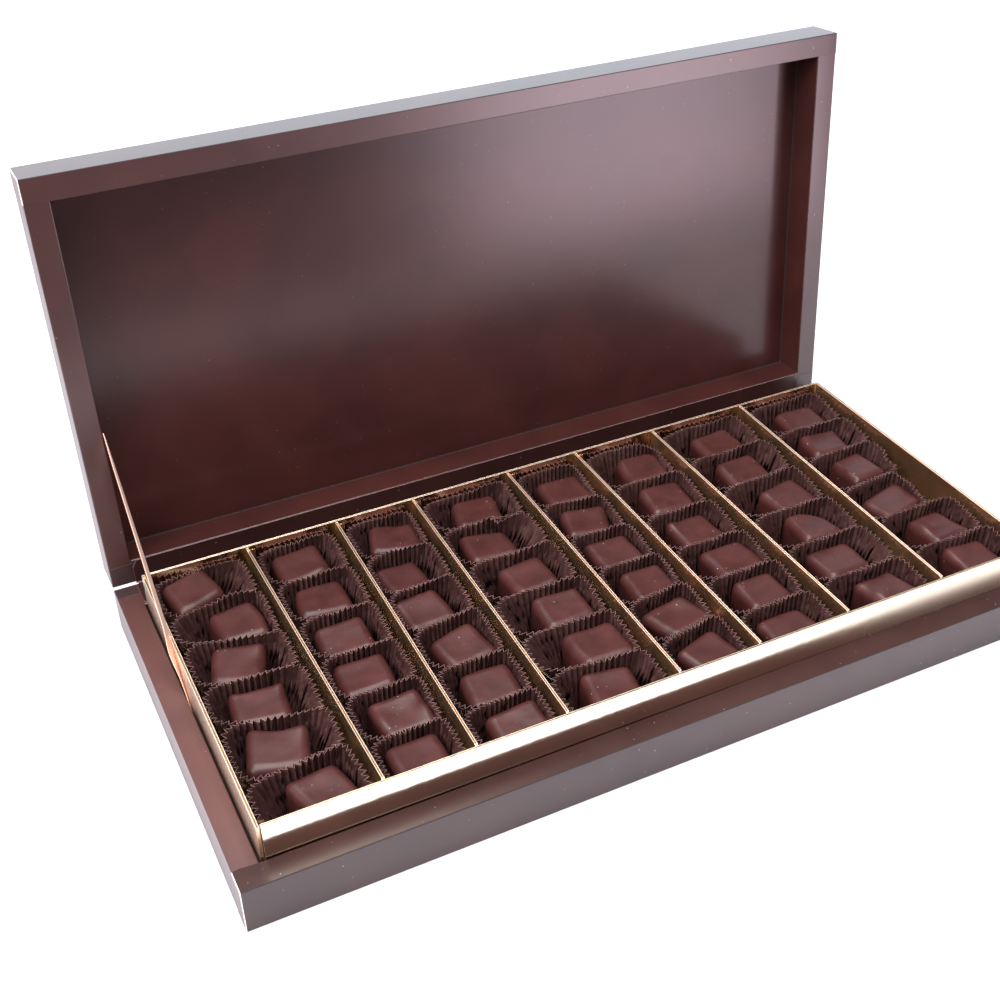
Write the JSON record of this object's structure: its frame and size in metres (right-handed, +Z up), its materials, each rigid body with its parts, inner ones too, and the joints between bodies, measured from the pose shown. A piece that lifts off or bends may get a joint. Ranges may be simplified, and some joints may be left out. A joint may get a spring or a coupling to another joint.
{
  "type": "box of turkish delight",
  "caption": "Shallow hinged card box standing open, with a gold divided tray of chocolate-coated sweets in fluted paper cases and a satin stay ribbon.",
  "frame": {"origin": "middle of the base's underside", "axes": "+X along the hinge, +Y from the front edge to the hinge, +Z up"},
  "size_m": [0.35, 0.2042, 0.1912],
  "materials": {
    "card_wrap": "folded greyboard in a dark brown satin-laminated paper wrap",
    "gold_card": "metallised gold card, semi-mirror, with bright folded edges",
    "satin_ribbon": "peach copper satin ribbon",
    "chocolate": "sweet coated in dark chocolate, soft gloss, in a dark brown fluted paper case"
  },
  "bodies": {
    "base": {"base": "card_wrap", "tray": "gold_card", "divider_1": "gold_card", "divider_2": "gold_card", "divider_3": "gold_card", "divider_4": "gold_card", "divider_5": "gold_card", "divider_6": "gold_card", "divider_7": "gold_card", "sweet_c1_r1": "chocolate", "sweet_c1_r2": "chocolate", "sweet_c1_r3": "chocolate", "sweet_c1_r4": "chocolate", "sweet_c1_r5": "chocolate", "sweet_c1_r6": "chocolate", "sweet_c2_r1": "chocolate", "sweet_c2_r2": "chocolate", "sweet_c2_r3": "chocolate", "sweet_c2_r4": "chocolate", "sweet_c2_r5": "chocolate", "sweet_c2_r6": "chocolate", "sweet_c3_r1": "chocolate", "sweet_c3_r2": "chocolate", "sweet_c3_r3": "chocolate", "sweet_c3_r4": "chocolate", "sweet_c3_r5": "chocolate", "sweet_c3_r6": "chocolate", "sweet_c4_r1": "chocolate", "sweet_c4_r2": "chocolate", "sweet_c4_r3": "chocolate", "sweet_c4_r4": "chocolate", "sweet_c4_r5": "chocolate", "sweet_c4_r6": "chocolate", "sweet_c5_r1": "chocolate", "sweet_c5_r2": "chocolate", "sweet_c5_r3": "chocolate", "sweet_c5_r4": "chocolate", "sweet_c5_r5": "chocolate", "sweet_c5_r6": "chocolate", "sweet_c6_r1": "chocolate", "sweet_c6_r2": "chocolate", "sweet_c6_r3": "chocolate", "sweet_c6_r4": "chocolate", "sweet_c6_r5": "chocolate", "sweet_c6_r6": "chocolate", "sweet_c7_r1": "chocolate", "sweet_c7_r2": "chocolate", "sweet_c7_r3": "chocolate", "sweet_c7_r4": "chocolate", "sweet_c7_r5": "chocolate", "sweet_c7_r6": "chocolate", "sweet_c8_r1": "chocolate", "sweet_c8_r2": "chocolate", "sweet_c8_r3": "chocolate", "sweet_c8_r4": "chocolate", "sweet_c8_r5": "chocolate", "sweet_c8_r6": "chocolate", "hinge_liner": "card_wrap", "ribbon": "satin_ribbon"},
    "lid": {"lid": "card_wrap"}
  },
  "joints": [
    {"name": "lid_hinge", "type": "hinge", "parent": "base", "child": "lid", "pos_m": [0, 0.08615, 0.01975], "axis": [1, 0, 0], "range_deg": [0, 95], "deforming": ["ribbon", "hinge_liner"]}
  ]
}
